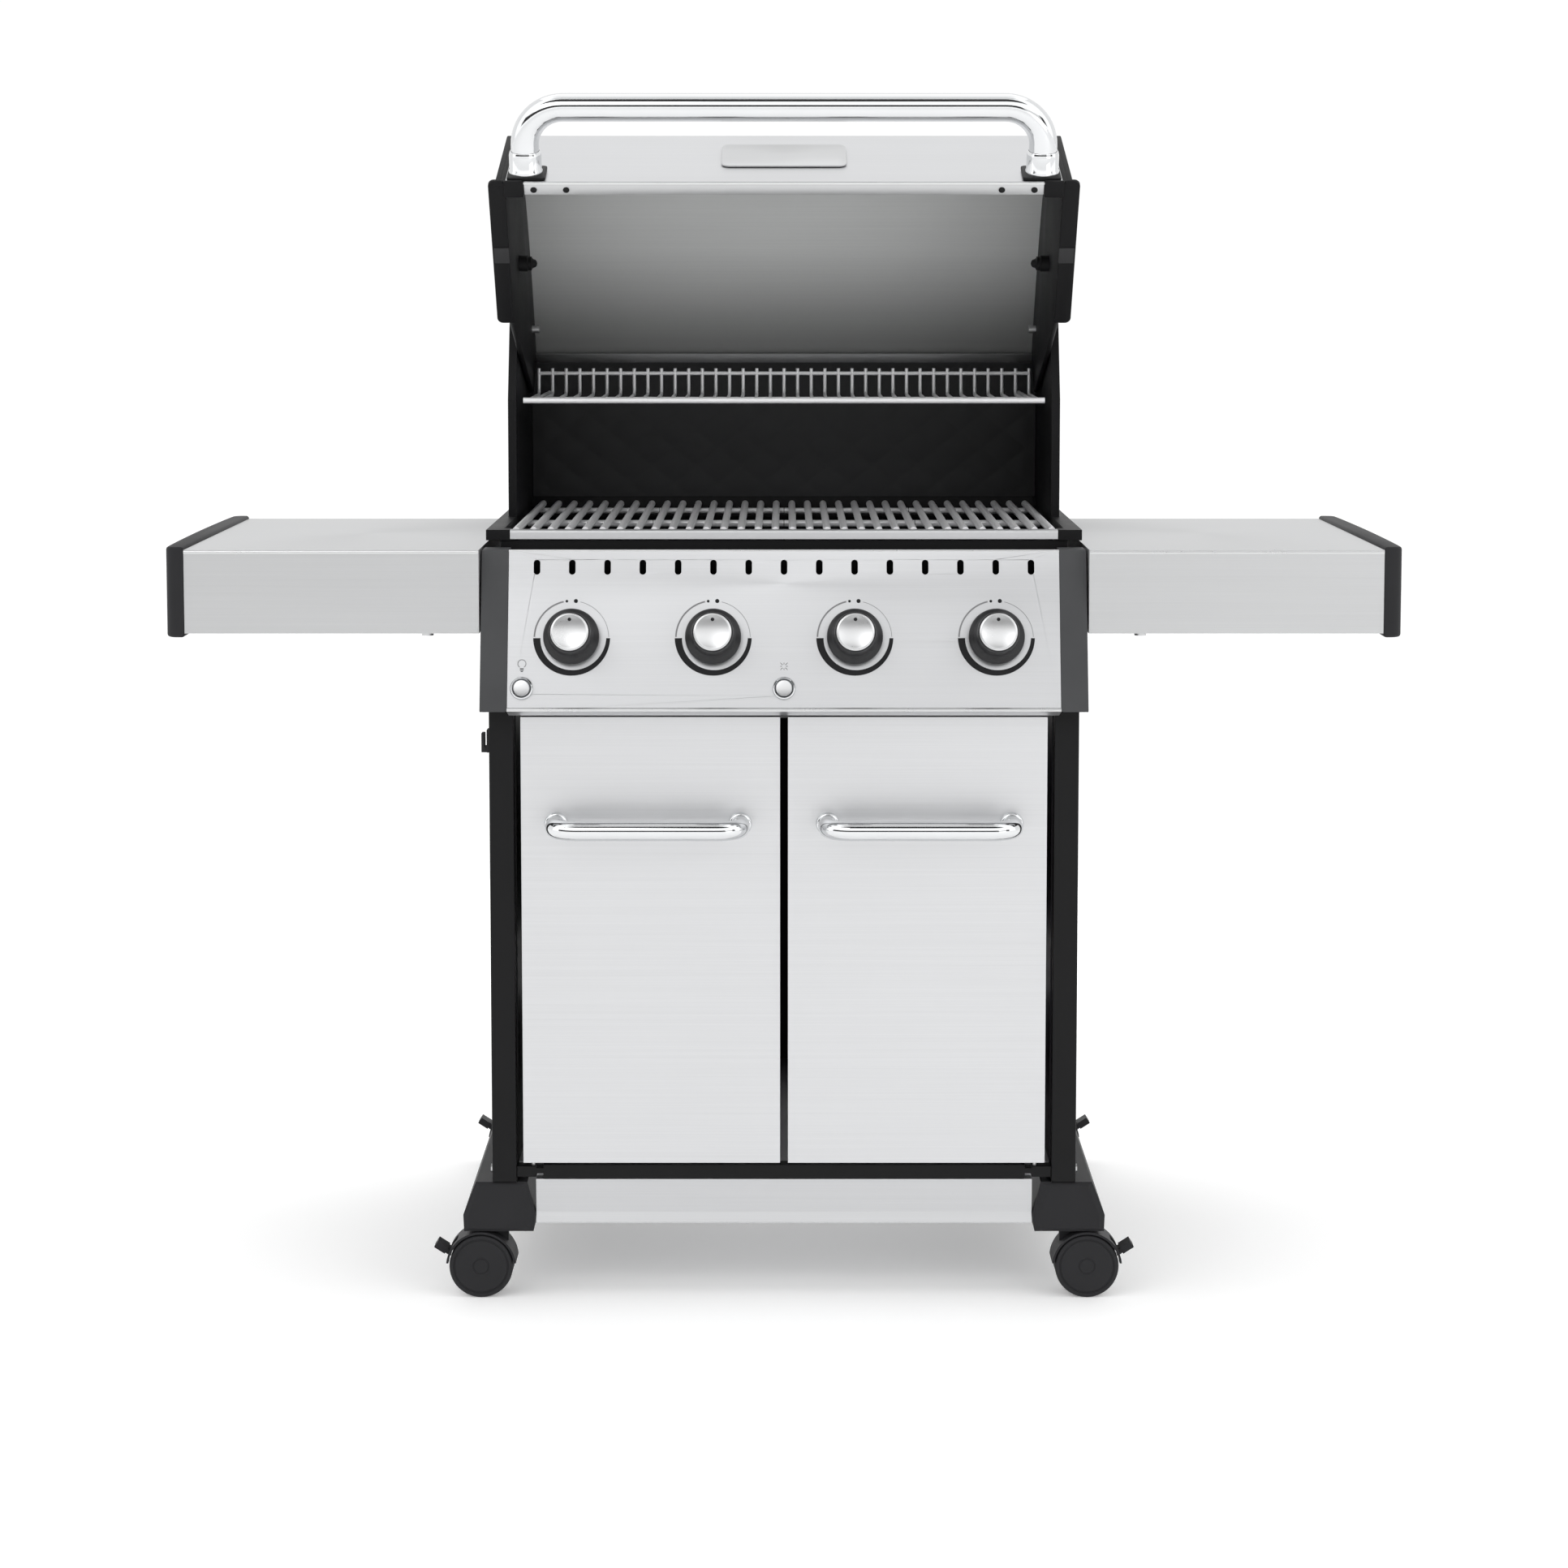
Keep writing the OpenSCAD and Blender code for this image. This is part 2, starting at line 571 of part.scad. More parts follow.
// ---- Casters, each a pair of wheels on one axle with a hood between and over them ----
axle_off = 18;
axle_r = 5;
wheel_side = [6.5, 21.5];
hood_w = 44;
hood_in_r = wheel_r + 1.2;
hood_r = 41.8;
core_half = 5.5;
hood_edge_z = 42;
pedal_at = [57.5, 52.4];
pedal_lift = 33;
pedal_half = 10;
function caster_side(i) = i % 2 == 1 ? -1 : 1;
function caster_y(i) = caster_ys[i > 2 ? 1 : 0];
module at_caster(i) placed() translate([caster_side(i) * caster_x, caster_y(i), 0])
    mirror([caster_side(i) > 0 ? 0 : 1, 0, 0]) children();
module caster_hood(i) color(dark_plastic) at_caster(i) {
    difference() {
        union() {
            difference() {
                rod_y(axle_off, -hood_w / 2, hood_w / 2, wheel_r, hood_r, 64);
                rod_y(axle_off, -hood_w, hood_w, wheel_r, hood_in_r, 64);
                block([-60, 80], [-hood_w, hood_w], [-10, hood_edge_z]);
            }
            // web between the two wheels, and the swivel head over them
            rod_y(axle_off, -core_half, core_half, wheel_r, wheel_r - 4, 64);
            block([-14, 18], [-core_half, core_half], [wheel_r, foot_bottom - 2]);
            block([-14, 18], [-12, 12], [wheel_r * 2 + 2, foot_bottom - 1]);
        }
        rod_y(axle_off, -20, 20, wheel_r, axle_r + run_gap, 24);
        // notch for the brake pedal
        block([44, 80], [-pedal_half - 0.5, pedal_half + 0.5], [40, 68]);
    }
    translate([0, 0, foot_bottom - 4]) cylinder(h = 34, r = caster_stem_r);
}
module caster_hood_1() caster_hood(1);
module caster_hood_2() caster_hood(2);
module caster_hood_3() caster_hood(3);
module caster_hood_4() caster_hood(4);
module caster_wheel(i) color(dark_plastic) at_caster(i) {
    for (e = both) rod_y(axle_off, e > 0 ? wheel_side[0] : -wheel_side[1],
        e > 0 ? wheel_side[1] : -wheel_side[0], wheel_r, wheel_r, 64);
    rod_y(axle_off, -wheel_side[0] - 1, wheel_side[0] + 1, wheel_r, axle_r, 24);
}
module caster_wheel_1() caster_wheel(1);
module caster_wheel_2() caster_wheel(2);
module caster_wheel_3() caster_wheel(3);
module caster_wheel_4() caster_wheel(4);
module brake_pedal(i) color(dark_plastic) at_caster(i)
    translate([pedal_at[0], 0, pedal_at[1]]) rotate([0, -pedal_lift, 0]) {
        translate([3, -pedal_half, -4.5]) cube([15, 2 * pedal_half, 9]);
        translate([0, -pedal_half, -2.8]) cube([4, 2 * pedal_half, 5.6]);
        rod_y(0, -pedal_half, pedal_half, 0, 3);
    }
module brake_pedal_1() brake_pedal(1);
module brake_pedal_2() brake_pedal(2);
module brake_pedal_3() brake_pedal(3);
module brake_pedal_4() brake_pedal(4);

leg_frame_left();
leg_frame_right();
foot_rail_left();
foot_rail_right();
bottom_shelf();
lower_front_panel();
door_rails();
side_panels();
back_panel();
cookbox();
cookbox_trim();
burners();
heat_tents();
cooking_grids();
warming_rack();
gas_manifold();
valves();
igniter();
control_panel();
panel_caps();
shelf_left();
shelf_right();
shelf_caps();
pins_and_screws();
cart_fittings();
grease_tray();
grease_cup();
lid_shell();
lid_end_left();
lid_end_right();
lid_handle();
handle_ferrules();
nameplate();
lid_hardware();
door_left();
door_right();
door_handle_left();
door_handle_right();
valve_stem_1();
valve_stem_2();
valve_stem_3();
valve_stem_4();
knob_1();
knob_2();
knob_3();
knob_4();
igniter_button();
light_button();
caster_hood_1();
caster_hood_2();
caster_hood_3();
caster_hood_4();
caster_wheel_1();
caster_wheel_2();
caster_wheel_3();
caster_wheel_4();
brake_pedal_1();
brake_pedal_2();
brake_pedal_3();
brake_pedal_4();
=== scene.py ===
# %% [markdown]
# # A four-burner gas barbecue grill
#
# The grill is a cookbox on a two-door cart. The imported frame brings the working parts: every
# joint, sheet and tube at its real size. This file adds what a frame leaves plain, which is the
# rolled edges, knobs, dials, screws and finishes, and each new piece rides on the body that
# carries it. Lengths are in metres, X runs to the right, Y to the back and Z up.

# %% Load the frame
import json
import math
import bpy
import bmesh
from mathutils import Matrix, Vector


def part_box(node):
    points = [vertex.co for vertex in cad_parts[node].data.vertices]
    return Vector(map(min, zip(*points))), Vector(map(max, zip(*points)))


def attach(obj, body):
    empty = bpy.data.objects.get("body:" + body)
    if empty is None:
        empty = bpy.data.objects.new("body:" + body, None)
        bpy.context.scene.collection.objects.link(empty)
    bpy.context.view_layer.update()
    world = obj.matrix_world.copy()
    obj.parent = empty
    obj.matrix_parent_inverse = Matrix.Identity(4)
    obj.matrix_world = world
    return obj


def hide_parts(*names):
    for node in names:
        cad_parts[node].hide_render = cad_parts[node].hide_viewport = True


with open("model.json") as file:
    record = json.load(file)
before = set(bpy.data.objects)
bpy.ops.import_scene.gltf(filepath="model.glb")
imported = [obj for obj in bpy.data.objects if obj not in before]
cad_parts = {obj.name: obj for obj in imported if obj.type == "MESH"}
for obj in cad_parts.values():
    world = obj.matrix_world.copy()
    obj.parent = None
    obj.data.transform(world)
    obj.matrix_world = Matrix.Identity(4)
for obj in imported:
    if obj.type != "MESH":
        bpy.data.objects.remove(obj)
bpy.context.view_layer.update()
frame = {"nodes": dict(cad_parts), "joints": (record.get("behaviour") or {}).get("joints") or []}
joints = {joint["name"]: joint for joint in frame["joints"]}

# %% [markdown]
# ## Shader maths
#
# A finish is a small graph of nodes. Wiring nodes by hand hides the arithmetic, so one class
# wraps a socket and lets Python's operators add the Math nodes. Every other node comes from
# one method, which sets the node's own settings first and then its sockets.

# %% A socket that takes part in arithmetic
class Wire:
    def __init__(self, tree, socket=None):
        self.tree = tree
        self.socket = socket

    def node(self, kind, settings=None, inputs=None, out=0):
        made = self.tree.nodes.new("ShaderNode" + kind)
        for name, value in (settings or {}).items():
            if name == "stops":
                ramp = made.color_ramp.elements
                for place, shade in value[2:]:
                    ramp.new(place)
                for stop, (place, shade) in zip(ramp, value):
                    stop.position = place
                    stop.color = (shade, shade, shade, 1)
            else:
                setattr(made, name, value)
        for name, value in (inputs or {}).items():
            if isinstance(value, Wire):
                self.tree.links.new(value.socket, made.inputs[name])
            else:
                made.inputs[name].default_value = value
        return Wire(self.tree, made.outputs[out])

    def maths(self, operation, *values):
        return self.node("Math", {"operation": operation}, dict(enumerate(values)))

    def __add__(self, other):
        return self.maths("ADD", self, other)

    def __sub__(self, other):
        return self.maths("SUBTRACT", self, other)

    def __rsub__(self, other):
        return self.maths("SUBTRACT", other, self)

    def __mul__(self, other):
        return self.maths("MULTIPLY", self, other)

    def __gt__(self, other):
        return self.maths("GREATER_THAN", self, other)

    def __lt__(self, other):
        return self.maths("LESS_THAN", self, other)

    __radd__ = __add__
    __rmul__ = __mul__


# %% [markdown]
# ## One way to make every finish
#
# All the grill's surfaces are a metal, an enamel or a moulding. Each is a Principled shader
# whose colour, roughness and normal carry the fine texture, in the piece's own coordinates.
# Numbers that don't vary over the surface are set straight on the shader.

# %% A finish from its shader, and its texture helpers
class Finish:
    def __init__(self, name, **constants):
        self.material = bpy.data.materials.new(name)
        self.material.use_nodes = True
        self.tree = self.material.node_tree
        self.shader = next(n for n in self.tree.nodes if n.type == "BSDF_PRINCIPLED")
        for socket, value in constants.items():
            self.shader.inputs[socket.replace("_", " ")].default_value = value
        self.start = Wire(self.tree)
        self.place = self.start.node("TexCoord", out=3)

    def stretched(self, x, y, z):
        return self.start.node("VectorMath", {"operation": "MULTIPLY"}, {0: self.place, 1: (x, y, z)})

    def noise(self, where, scale=1.0, detail=2.0):
        return self.start.node("TexNoise", inputs={"Vector": where, "Scale": scale, "Detail": detail})

    def blend(self, factor, low, high):
        mixed = {"Factor": factor, 6: (*low, 1), 7: (*high, 1)}
        return self.start.node("Mix", {"data_type": "RGBA"}, mixed, out=2)

    def set(self, socket, wire):
        self.tree.links.new(wire.socket, self.shader.inputs[socket])

    def bump(self, height, depth, strength=1.0):
        made = {"Height": height, "Distance": depth, "Strength": strength}
        self.set("Normal", self.start.node("Bump", inputs=made))


# %% [markdown]
# ## Brushed stainless
#
# Sheet for grills is rolled and then brushed with an abrasive belt. The belt runs one way, so
# the scratches are long in that direction and only tenths of a millimetre across. Noise that
# is squeezed across the belt's direction gives them, and it drives roughness, a faint change
# of colour and a very shallow bump. A slow, wide noise keeps a big sheet from looking dead.
# The hood's inside also gets a painted shade: it is darkened over a span of height, towards the cookbox
# below.

# %% Brushed stainless, brushed along the axes that are named
# Least share of the colour that the painted shade inside the hood leaves.
painted_shade_limit = 0.38


def brushed(name, along, tone, rough, depth=0.00004, metal=1.0, painted_shade_span=None):
    steel = Finish(name, Metallic=metal, Anisotropic=0.35)
    fine = [5.0 if axis in along else 1500.0 for axis in "xyz"]
    coarse = [1.2 if axis in along else 260.0 for axis in "xyz"]
    hair = steel.noise(steel.stretched(*fine), 1.0, 3.0)
    band = steel.noise(steel.stretched(*coarse), 1.0, 2.0)
    cloud = steel.noise(steel.place, 3.5, 2.0)
    grain = hair * 0.6 + band * 0.4
    light = tuple(min(1.0, c * 1.16) for c in tone)
    colour = steel.blend(grain * 0.7 + cloud * 0.3, tuple(c * 0.88 for c in tone), light)
    # Painted shade: lower down, over a span of height, the colour is mixed towards black.
    if painted_shade_span:
        upward = {0: steel.place, 1: (0, 0, 1)}
        height = steel.start.node("VectorMath", {"operation": "DOT_PRODUCT"}, upward, out=1)
        span = {"Value": height, "From Min": painted_shade_span[0], "From Max": painted_shade_span[1]}
        unshaded_share = steel.start.node("MapRange", inputs=span)
        painted_shade_mix = {"Factor": unshaded_share * (1 - painted_shade_limit) + painted_shade_limit, 6: (0.01, 0.01, 0.01, 1), 7: colour}
        colour = steel.start.node("Mix", {"data_type": "RGBA"}, painted_shade_mix, out=2)
    steel.set("Base Color", colour)
    steel.set("Roughness", grain * 0.16 + cloud * 0.10 + (rough - 0.10))
    steel.bump(hair, depth, 0.35)
    return steel.material


sheet_steel = brushed("brushed stainless", "x", tone=(0.575, 0.58, 0.59), rough=0.38)
hood_steel = brushed("brushed stainless of the hood", "x", tone=(0.61, 0.615, 0.625), rough=0.36)
shelf_steel = brushed("brushed stainless of the shelves", "x", tone=(0.565, 0.57, 0.575), rough=0.40)
# The hood's inside carries painted shade, darker towards the bottom of the open hood.
hood_inner = brushed("mill finish inside the hood", "x", tone=(0.69, 0.70, 0.695), rough=0.55,
                     metal=0.25, painted_shade_span=(1.13, 1.25))
rod_steel = brushed("drawn rod", "y", tone=(0.80, 0.80, 0.81), rough=0.34, metal=0.40)
print("brushed finishes:", sheet_steel.name, hood_inner.name, rod_steel.name)

# %% [markdown]
# ## Chrome, enamel, paint and mouldings
#
# Chrome is nearly a mirror, with faint polishing marks. Enamel is a glass skin fired on iron:
# it is smooth but slightly dimpled. The legs' powder paint is duller, with an orange-peel
# bump. The mouldings carry a spark-eroded grain that breaks the highlight up.

# %% Chrome
def polished(name, tone, rough):
    bright = Finish(name, Metallic=1.0)
    marks = bright.noise(bright.place, 420.0, 3.0)
    cloud = bright.noise(bright.place, 18.0, 2.0)
    bright.set("Base Color", bright.blend(cloud, tuple(c * 0.94 for c in tone), tone))
    bright.set("Roughness", marks * 0.04 + cloud * 0.05 + rough)
    return bright.material


chrome = polished("chrome", (0.74, 0.75, 0.76), 0.04)
satin_chrome = polished("satin chrome", (0.66, 0.665, 0.67), 0.24)
zinc = polished("zinc plate", (0.58, 0.585, 0.59), 0.34)
brass = polished("machined brass", (0.66, 0.48, 0.20), 0.26)


# %% Coated and moulded black parts
def coated(name, tone, rough, grain, depth, shine=0.15):
    skin = Finish(name, Specular_IOR_Level=shine)
    peel = skin.noise(skin.place, grain, 3.0)
    cloud = skin.noise(skin.place, 14.0, 3.0)
    skin.set("Base Color", skin.blend(cloud, tone, tuple(c * 1.35 for c in tone)))
    skin.set("Roughness", cloud * 0.10 + peel * 0.08 + (rough - 0.09))
    skin.bump(peel, depth, 0.5)
    return skin.material


enamel = coated("black enamel", (0.0065, 0.0065, 0.007), 0.46, 260.0, 0.00012, shine=0.12)
paint = coated("black powder paint", (0.0070, 0.0070, 0.0074), 0.42, 900.0, 0.00006)
grey_moulding = coated("grey moulding", (0.053, 0.054, 0.056), 0.52, 2200.0, 0.00008)
dark_moulding = coated("dark moulding", (0.018, 0.018, 0.0195), 0.55, 2200.0, 0.00008)
knob_black = coated("knob black", (0.016, 0.016, 0.017), 0.34, 1600.0, 0.00003, shine=0.3)
tread = coated("caster tread", (0.020, 0.020, 0.0215), 0.62, 1300.0, 0.00008)
rubber = coated("rubber pad", (0.030, 0.030, 0.031), 0.72, 1500.0, 0.00010)
print("coated finishes:", enamel.name, paint.name, grey_moulding.name, dark_moulding.name)

# %% [markdown]
# ## Measures and mesh helpers
#
# Depths on a grill are measured from the lower front edge of its control panel, because the
# maker's drawings start there. `at` turns such millimetres into the frame's metres. The
# helpers below make the few kinds of solid that sheet-metal work needs: a bar of folded
# profile, a bent tube, a turned part and a block with rounded edges.

# %% From the maker's millimetres to the frame
MM = 0.001
front_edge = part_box("control_panel")[0][1]


def at(x, y, z):
    return Vector((x * MM, y * MM + front_edge, z * MM))


def joint_frame(name):
    """A matrix with its origin on the joint and its Z along the joint's axis."""
    joint = joints[name]
    turn = Vector(joint["axis"]).normalized().to_track_quat("Z", "X").to_matrix().to_4x4()
    return Matrix.Translation(Vector(joint["pos_m"])) @ turn


print("control panel's front edge is at y =", round(front_edge, 4))


# %% Turn a bmesh into a riding piece
def piece(name, bm, material, body, sharp=32, bevel=0.0, steps=2):
    if bevel:
        bm.normal_update()
        edges = [e for e in bm.edges if len(e.link_faces) == 2 and e.calc_face_angle() > 0.6]
        bmesh.ops.bevel(bm, geom=edges, offset=bevel * MM, segments=steps, affect="EDGES",
                        profile=0.5, clamp_overlap=True)
    bmesh.ops.recalc_face_normals(bm, faces=bm.faces)
    mesh = bpy.data.meshes.new(name)
    bm.to_mesh(mesh)
    bm.free()
    for face in mesh.polygons:
        face.use_smooth = True
    mesh.set_sharp_from_angle(angle=math.radians(sharp))
    mesh.materials.append(material)
    made = bpy.data.objects.new(name, mesh)
    bpy.context.scene.collection.objects.link(made)
    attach(made, body)
    return made


# %% Solids: prism, block, turned part and bent tube
def add_prism(bm, outline, along):
    """A closed flat outline, given as 3-D points, pushed along a vector."""
    near = [bm.verts.new(p) for p in outline]
    far = [bm.verts.new(p + along) for p in outline]
    count = len(outline)
    bm.faces.new(near)
    bm.faces.new(list(reversed(far)))
    for i in range(count):
        j = (i + 1) % count
        bm.faces.new((near[j], near[i], far[i], far[j]))


def add_block(bm, low, high):
    x0, y0, z0 = low
    x1, y1, z1 = high
    add_prism(bm, [at(x0, y0, z0), at(x1, y0, z0), at(x1, y1, z0), at(x0, y1, z0)],
              Vector((0, 0, (z1 - z0) * MM)))


def add_turned(bm, profile, place, steps=64):
    """A closed (radius, height) profile in millimetres, turned about the Z axis of place."""
    rings = []
    for radius, height in profile:
        if radius == 0:
            rings.append([bm.verts.new(place @ Vector((0, 0, height * MM)))])
            continue
        ring = []
        for i in range(steps):
            a = 2 * math.pi * i / steps
            turned = Vector((radius * math.cos(a), radius * math.sin(a), height))
            ring.append(bm.verts.new(place @ (turned * MM)))
        rings.append(ring)
    pairs = list(zip(rings, rings[1:]))
    if len(rings[0]) > 1 or len(rings[-1]) > 1:
        pairs.append((rings[-1], rings[0]))
    for low, high in pairs:
        for i in range(steps):
            j = (i + 1) % steps
            if len(low) == 1 and len(high) == 1:
                break
            if len(low) == 1:
                bm.faces.new((low[0], high[i], high[j]))
            elif len(high) == 1:
                bm.faces.new((low[j], low[i], high[0]))
            else:
                bm.faces.new((low[j], low[i], high[i], high[j]))


def add_tube(bm, route, radius, sides=24):
    """A round tube along a route of points, with flat ends."""
    normal = None
    rings = []
    last = len(route) - 1
    for i, point in enumerate(route):
        ahead = (route[min(i + 1, last)] - route[max(i - 1, 0)]).normalized()
        if normal is None:
            normal = ahead.orthogonal().normalized()
        normal = (normal - ahead * normal.dot(ahead)).normalized()
        side = ahead.cross(normal)
        ring = []
        for k in range(sides):
            a = 2 * math.pi * k / sides
            ring.append(bm.verts.new(point + (normal * math.cos(a) + side * math.sin(a)) * radius * MM))
        rings.append(ring)
    for low, high in zip(rings, rings[1:]):
        for k in range(sides):
            j = (k + 1) % sides
            bm.faces.new((low[k], low[j], high[j], high[k]))
    bm.faces.new(list(reversed(rings[0])))
    bm.faces.new(rings[-1])


# %% Outlines: arcs, rounded corners and smooth curves
def arc(cx, cy, radius, start, end, steps=8):
    turns = [math.radians(start + (end - start) * i / steps) for i in range(steps + 1)]
    return [(cx + radius * math.cos(a), cy + radius * math.sin(a)) for a in turns]


def rounded_outline(x0, y0, x1, y1, r, steps=6):
    return (arc(x1 - r, y1 - r, r, 0, 90, steps) + arc(x0 + r, y1 - r, r, 90, 180, steps)
            + arc(x0 + r, y0 + r, r, 180, 270, steps) + arc(x1 - r, y0 + r, r, 270, 360, steps))


def smooth_line(points, steps=6):
    """A curve through the points, by the usual cubic through each pair and its neighbours."""
    line = []
    for i in range(len(points) - 1):
        before, after = max(i - 1, 0), min(i + 2, len(points) - 1)
        a, b, c, d = points[before], points[i], points[i + 1], points[after]
        for k in range(steps):
            t = k / steps
            line.append(tuple(0.5 * (2 * q + (r - p) * t + (2 * p - 5 * q + 4 * r - s) * t ** 2
                                     + (3 * q - p - 3 * r + s) * t ** 3)
                              for p, q, r, s in zip(a, b, c, d)))
    return line + [tuple(points[-1])]


def thickened(line, t):
    """A (y, z) line moved to its right by t and joined to itself as a closed strip."""
    moved = []
    for i, (y, z) in enumerate(line):
        a, b = line[max(i - 1, 0)], line[min(i + 1, len(line) - 1)]
        length = math.hypot(b[0] - a[0], b[1] - a[1])
        moved.append((y + t * (b[1] - a[1]) / length, z - t * (b[0] - a[0]) / length))
    return line + moved[::-1]


print("mesh helpers are ready")

# %% [markdown]
# ## Stage, lights and camera
#
# Product shots of steel are made in a white room: every reflection is then white or pale grey,
# and the shape shows in soft steps of tone. A large light over the front gives the bright top
# edges. The camera stands at chest height, well back, and looks almost level. A small lens
# shift takes up part of the drop to the casters, as an architect's camera does, so that the
# legs stay nearly upright without tipping the camera much.

# %% Pale floor that runs to the horizon, lit a little from below as a product table is
def add_floor():
    bm = bmesh.new()
    reach = 14.0
    bmesh.ops.create_grid(bm, x_segments=2, y_segments=2, size=reach)
    mesh = bpy.data.meshes.new("studio floor")
    bm.to_mesh(mesh)
    bm.free()
    floor = bpy.data.objects.new("studio_floor", mesh)
    bpy.context.scene.collection.objects.link(floor)
    paper = Finish("studio paper", Roughness=0.9, Emission_Color=(1, 1, 1, 1), Emission_Strength=0.18)
    mottle = paper.noise(paper.place, 0.6)
    paper.set("Base Color", paper.blend(mottle, (0.93, 0.93, 0.93), (0.95, 0.95, 0.95)))
    mesh.materials.append(paper.material)


add_floor()


# %% White room and soft lights
def add_light(name, place, aim, size, power):
    lamp = bpy.data.lights.new(name, "AREA")
    lamp.shape = "RECTANGLE"
    lamp.size, lamp.size_y = size
    lamp.energy = power
    made = bpy.data.objects.new(name, lamp)
    made.location = place
    made.rotation_euler = (Vector(aim) - Vector(place)).to_track_quat("-Z", "Y").to_euler()
    bpy.context.scene.collection.objects.link(made)


def add_room():
    """White all round, with two dark bands on the side that the grill faces and a dim ceiling."""
    world = bpy.data.worlds.new("white room")
    bpy.context.scene.world = world
    world.use_nodes = True
    start = Wire(world.node_tree)
    way = start.node("TexCoord")
    parts = world.node_tree.nodes.new("ShaderNodeSeparateXYZ")
    world.node_tree.links.new(way.socket, parts.inputs[0])
    ahead = Wire(world.node_tree, parts.outputs[1])
    up = Wire(world.node_tree, parts.outputs[2])
    bands = [(0.02, 1.0), (0.05, 0.03), (0.26, 0.03), (0.30, 1.0),
             (0.68, 1.0), (0.72, 0.03), (0.93, 0.03), (0.95, 0.7)]
    banded = start.node("ValToRGB", {"stops": bands}, {0: up})
    ceiling = start.node("ValToRGB", {"stops": [(0.90, 1.0), (0.97, 0.45)]}, {0: up})
    front = ahead < -0.4
    behind = ahead > 0.1
    shade = (1.0 - front * (1.0 - banded)) * (1.0 - behind * 0.27) * ceiling
    room = next(n for n in world.node_tree.nodes if n.type == "BACKGROUND")
    world.node_tree.links.new(shade.socket, room.inputs["Color"])
    room.inputs["Strength"].default_value = 1.4


add_room()
add_light("key", (-1.6, -3.2, 3.4), (0, 0, 0.9), (2.6, 1.6), 20)
add_light("fill", (2.4, -3.0, 1.6), (0, 0, 0.7), (1.8, 2.4), 12)
add_light("top", (0, 0.4, 3.6), (0, 0, 0.8), (3.0, 2.0), 12)
add_light("low back", (0, 2.4, 0.45), (0, 0.2, 0), (3.0, 0.5), 8)

# %% Camera
camera_away = 3.9
camera_height = 1.231
lens = 77.5
film = 36.0
full_shift = 0.3317
shift = 0.135
lens_view = bpy.data.cameras.new("front view")
lens_view.lens = lens
lens_view.sensor_width = film
lens_view.shift_y = -shift
tilt = math.atan((full_shift - shift) * film / lens)
camera = bpy.data.objects.new("camera", lens_view)
camera.location = (0, front_edge - camera_away, camera_height)
camera.rotation_euler = (math.pi / 2 - tilt, 0, 0)
bpy.context.scene.collection.objects.link(camera)
bpy.context.scene.camera = camera
bpy.context.scene.view_settings.view_transform = "Standard"
print("camera tips down by", round(math.degrees(tilt), 2), "degrees")

# %% [markdown]
# ## The hood
#
# The hood's skin is one sheet, folded at the lip, bent over the crest and rolled along the
# roof. A folded strip with real thickness shows both faces and the cut edge, which a single
# surface can't. It is drawn shut, where its shape is easy to give, and then turned about the
# hinge to the angle at which the frame stands open.

# %% The hood's turn from shut to open
hinge = joints["lid_hinge"]
pivot = Vector(hinge["pos_m"])
open_angle = math.radians(hinge["range_deg"][1])
opened = (Matrix.Translation(pivot) @ Matrix.Rotation(-open_angle, 4, "X") @ Matrix.Translation(-pivot))
lid_lean = math.radians(18)
lip_y, lip_z = 77, 921
front_len = 195
crest_y = lip_y + front_len * math.sin(lid_lean)
crest_z = lip_z + front_len * math.cos(lid_lean)
hood_half = 325
crest_curve = arc(crest_y + 27, crest_z - 14, 28, 162, 112, 12)
roof = [crest_curve[-1], (210, 1146), (255, 1163), (300, 1174),
        (360, 1182), (420, 1186), (500, 1187), (540, 1184)]
hood_line = [(lip_y, lip_z)] + crest_curve[:-1] + smooth_line(roof, 5) + arc(540, 1176, 8, 75, 0, 4)
print("the hood opens", round(math.degrees(open_angle)), "degrees; its line has", len(hood_line), "points")


def on_hood_front(x, up, out):
    """A point measured along the shut hood's front sheet, from its lip, and out of it."""
    return at(x, lip_y + up * math.sin(lid_lean) - out * math.cos(lid_lean),
              lip_z + up * math.cos(lid_lean) + out * math.sin(lid_lean))


def hood_piece(name, bm, material, **options):
    bmesh.ops.transform(bm, matrix=opened, verts=bm.verts)
    return piece(name, bm, material, "lid", **options)


# %% Skin, with a duller finish inside
bm = bmesh.new()
strip = thickened(hood_line, 2)
add_prism(bm, [at(-hood_half, y, z) for y, z in strip], Vector((2 * hood_half * MM, 0, 0)))
skin = hood_piece("hood_skin", bm, hood_steel, sharp=40)
skin.data.materials.append(hood_inner)
ends_before_sides = 2
for face in skin.data.polygons[ends_before_sides + len(hood_line) - 1:]:
    face.material_index = 1
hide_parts("lid_shell")

# %% Folded return along the lip and drip edge along the back
return_half = 303
bm = bmesh.new()
add_block(bm, (-return_half, 79, 921), (return_half, 94, 923))
add_tube(bm, [at(-return_half, 79.6, 923.4), at(return_half, 79.6, 923.4)], 2.5, 16)
add_block(bm, (-hood_half, 532, 1173), (hood_half, 546, 1175))
hood_piece("hood_return", bm, shelf_steel, bevel=0.4)

# %% [markdown]
# The ends are castings: a flat web, a raised border along the front, a broad foot that sits
# beside the cookbox rim and a toe that wraps under the lip. Small bevels on every edge catch
# the light as the fillets of a casting do.

# %% Cast ends
end_in, end_out, foot_out, foot_back = 325.05, 331, 345, 283
border = [p for p in hood_line if p[0] < 300]


